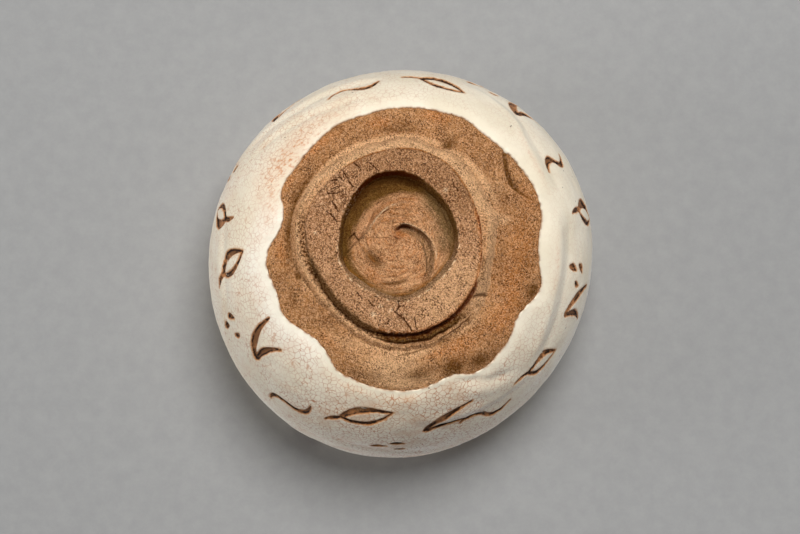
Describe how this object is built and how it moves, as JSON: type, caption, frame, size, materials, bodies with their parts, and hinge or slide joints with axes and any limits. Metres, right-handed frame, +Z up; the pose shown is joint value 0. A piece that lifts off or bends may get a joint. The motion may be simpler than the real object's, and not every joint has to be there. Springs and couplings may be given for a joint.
{
  "type": "tea bowl",
  "caption": "Hand-built stoneware tea bowl with a broad foot ring, a finger-turned swirl in its well and a thick crackled glaze with a wavy edge.",
  "frame": {"origin": "on the bowl's axis, in the plane on which the foot ring rests", "axes": "+Z runs up through the mouth; -Y is the side where the foot ring stands clear of its collar; +X completes the frame"},
  "size_m": [0.1197, 0.1203, 0.0806],
  "materials": {
    "clay": "rough fired brown clay with sand specks and fine cracks",
    "collar_clay": "smoothed paler fired clay",
    "glaze": "creamy white glaze, softly glossy, with a fine tan crackle"
  },
  "bodies": {
    "root": {"clay_body": "clay", "foot_ring": "clay", "foot_collar": "collar_clay", "spiral_pad": "clay", "outer_glaze": "glaze", "inner_glaze": "glaze"}
  },
  "joints": []
}
